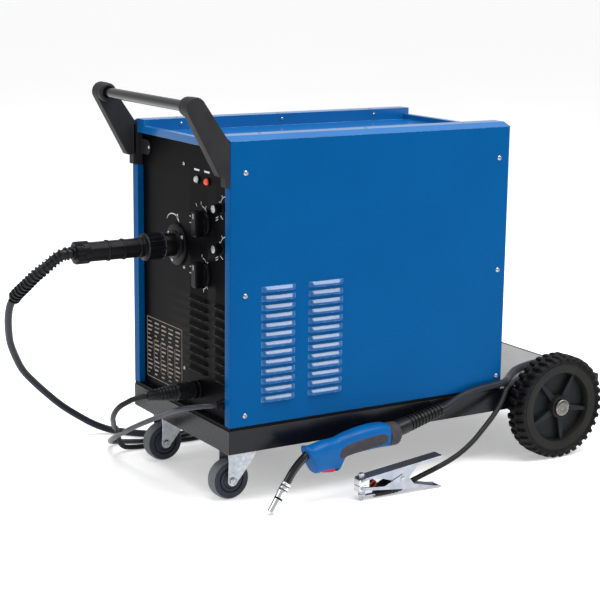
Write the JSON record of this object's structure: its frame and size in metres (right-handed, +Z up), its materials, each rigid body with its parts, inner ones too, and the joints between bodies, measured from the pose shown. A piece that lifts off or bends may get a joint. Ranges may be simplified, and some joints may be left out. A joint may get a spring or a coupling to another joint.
{
  "type": "mig welder on cart",
  "caption": "Sheet-steel wire welder on a two-axle cart with a side door, rotary controls, tube handle, torch, earth clamp and mains lead.",
  "frame": {"origin": "on the floor under the middle of the machine, its torch and its earth clamp, without the leads", "axes": "+Y from the control panel towards the gas-bottle platform, +X towards the louvred side, +Z up"},
  "size_m": [0.6126, 1.2282, 0.7103],
  "materials": {
    "blue_paint": "semi-gloss enamel",
    "black_paint": "semi-gloss powder coat",
    "black_plastic": "fine texture",
    "blue_plastic": "satin",
    "red_plastic": "gloss",
    "clear_plastic": "clear, gloss",
    "orange_plastic": "translucent, gloss",
    "rubber": "matt",
    "tyre_rubber": "matt",
    "grey_rubber": "matt",
    "zinc": "bright zinc plate",
    "chrome": "polished",
    "steel": "bare",
    "aluminium": "extruded",
    "brass": "machined",
    "board_green": "solder mask",
    "lead_rubber": "smooth sheath"
  },
  "bodies": {
    "machine": {"cart_tray": "black_paint", "base_plate": "black_paint", "front_panel": "black_paint", "rear_panel": "black_paint", "side_panel_right": "blue_paint", "side_frame_left": "blue_paint", "top_cover": "blue_paint", "divider": "steel", "transformer": "steel", "rectifier": "aluminium", "fan_housing": "black_plastic", "control_board": "board_green", "gas_valve": "brass", "wire_feeder": "steel", "spool_hub": "black_plastic", "handle_bracket_right": "black_paint", "handle_bracket_left": "black_paint", "handle_tube": "black_paint", "power_lamp": "clear_plastic", "thermal_lamp": "orange_plastic", "torch_socket": "black_plastic", "earth_socket": "black_plastic", "mains_gland": "black_plastic", "rear_axle": "zinc", "bottle_bracket_upper": "black_paint", "torch_handle": "blue_plastic", "torch_neck": "black_paint", "torch_nozzle": "chrome", "torch_boot": "rubber", "clamp_lower_jaw": "zinc", "clamp_spring": "steel", "torch_plug": "black_plastic", "torch_lead": "lead_rubber", "torch_spring": "steel", "earth_plug": "rubber", "earth_lead": "lead_rubber", "mains_lead": "lead_rubber", "mains_coil": "lead_rubber", "mains_plug": "black_plastic"},
    "door": {"wire_door": "blue_paint"},
    "latch": {"door_latch": "black_plastic"},
    "coarse_switch": {"coarse_knob": "black_plastic"},
    "fine_switch": {"fine_knob": "black_plastic"},
    "speed_dial": {"speed_knob": "black_plastic"},
    "timer_dial": {"timer_knob": "black_plastic"},
    "fan": {"fan_rotor": "black_plastic"},
    "feed_roll": {"drive_roll": "steel"},
    "feed_arm": {"pressure_arm": "zinc"},
    "idle_roll": {"pressure_roll": "steel"},
    "spool": {"wire_spool": "steel"},
    "fork_right": {"caster_fork_right": "zinc"},
    "fork_left": {"caster_fork_left": "zinc"},
    "castor_wheel_right": {"caster_wheel_right": "grey_rubber"},
    "castor_wheel_left": {"caster_wheel_left": "grey_rubber"},
    "wheel_right": {"tyre_right": "tyre_rubber", "rim_right": "black_plastic"},
    "wheel_left": {"tyre_left": "tyre_rubber", "rim_left": "black_plastic"},
    "trigger": {"torch_trigger": "red_plastic"},
    "clamp_arm": {"clamp_upper_jaw": "zinc"}
  },
  "joints": [
    {"name": "door_swing", "type": "hinge", "parent": "machine", "child": "door", "pos_m": [-0.2012, 0.1716, 0.3925], "axis": [0, 0, -1], "range_deg": [0, 110]},
    {"name": "latch_turn", "type": "hinge", "parent": "door", "child": "latch", "pos_m": [-0.2015, -0.3129, 0.3925], "axis": [1, 0, 0], "range_deg": [0, 90]},
    {"name": "coarse_turn", "type": "hinge", "parent": "machine", "child": "coarse_switch", "pos_m": [0.0595, -0.3622, 0.483], "axis": [0, 1, 0], "range_deg": [-90, 90]},
    {"name": "fine_turn", "type": "hinge", "parent": "machine", "child": "fine_switch", "pos_m": [0.0595, -0.3622, 0.393], "axis": [0, 1, 0], "range_deg": [-90, 90]},
    {"name": "speed_turn", "type": "hinge", "parent": "machine", "child": "speed_dial", "pos_m": [0.1255, -0.3622, 0.518], "axis": [0, 1, 0], "range_deg": [-150, 150]},
    {"name": "timer_turn", "type": "hinge", "parent": "machine", "child": "timer_dial", "pos_m": [0.1255, -0.3622, 0.449], "axis": [0, 1, 0], "range_deg": [-150, 150]},
    {"name": "fan_spin", "type": "hinge", "parent": "machine", "child": "fan", "pos_m": [0.0805, 0.1761, 0.43], "axis": [0, 1, 0], "continuous": true},
    {"name": "drive_roll_spin", "type": "hinge", "parent": "machine", "child": "feed_roll", "pos_m": [-0.0154, -0.2689, 0.415], "axis": [1, 0, 0], "continuous": true},
    {"name": "pressure_arm_lift", "type": "hinge", "parent": "machine", "child": "feed_arm", "pos_m": [-0.0309, -0.3039, 0.456], "axis": [1, 0, 0], "range_deg": [0, 60]},
    {"name": "pressure_roll_spin", "type": "hinge", "parent": "feed_arm", "child": "idle_roll", "pos_m": [-0.0154, -0.2689, 0.4456], "axis": [1, 0, 0], "continuous": true},
    {"name": "spool_spin", "type": "hinge", "parent": "machine", "child": "spool", "pos_m": [-0.0795, 0.0261, 0.36], "axis": [1, 0, 0], "continuous": true},
    {"name": "caster_swivel_right", "type": "hinge", "parent": "machine", "child": "fork_right", "pos_m": [0.1145, -0.3209, 0.0969], "axis": [0, 0, 1], "continuous": true},
    {"name": "caster_swivel_left", "type": "hinge", "parent": "machine", "child": "fork_left", "pos_m": [-0.1435, -0.3209, 0.0969], "axis": [0, 0, 1], "continuous": true},
    {"name": "caster_roll_right", "type": "hinge", "parent": "fork_right", "child": "castor_wheel_right", "pos_m": [0.1145, -0.3459, 0.036], "axis": [1, 0, 0], "continuous": true},
    {"name": "caster_roll_left", "type": "hinge", "parent": "fork_left", "child": "castor_wheel_left", "pos_m": [-0.1435, -0.3459, 0.036], "axis": [1, 0, 0], "continuous": true},
    {"name": "wheel_roll_right", "type": "hinge", "parent": "machine", "child": "wheel_right", "pos_m": [0.2015, 0.3201, 0.1], "axis": [1, 0, 0], "continuous": true},
    {"name": "wheel_roll_left", "type": "hinge", "parent": "machine", "child": "wheel_left", "pos_m": [-0.2305, 0.3201, 0.1], "axis": [1, 0, 0], "continuous": true},
    {"name": "trigger_pull", "type": "hinge", "parent": "machine", "child": "trigger", "pos_m": [0.21957, -0.22551, 0.063], "axis": [0.9939, 0.1104, 0], "range_deg": [0, 7], "stiffness_Nm_per_rad": 0.3, "springref_deg": -5.73},
    {"name": "clamp_open", "type": "hinge", "parent": "machine", "child": "clamp_arm", "pos_m": [0.242, -0.0689, 0.0302], "axis": [-1, 0, 0], "range_deg": [0, 10], "stiffness_Nm_per_rad": 2, "springref_deg": -17.19}
  ],
  "couplings": [
    {"joint": "pressure_roll_spin", "follows": "drive_roll_spin", "ratio": -1}
  ]
}
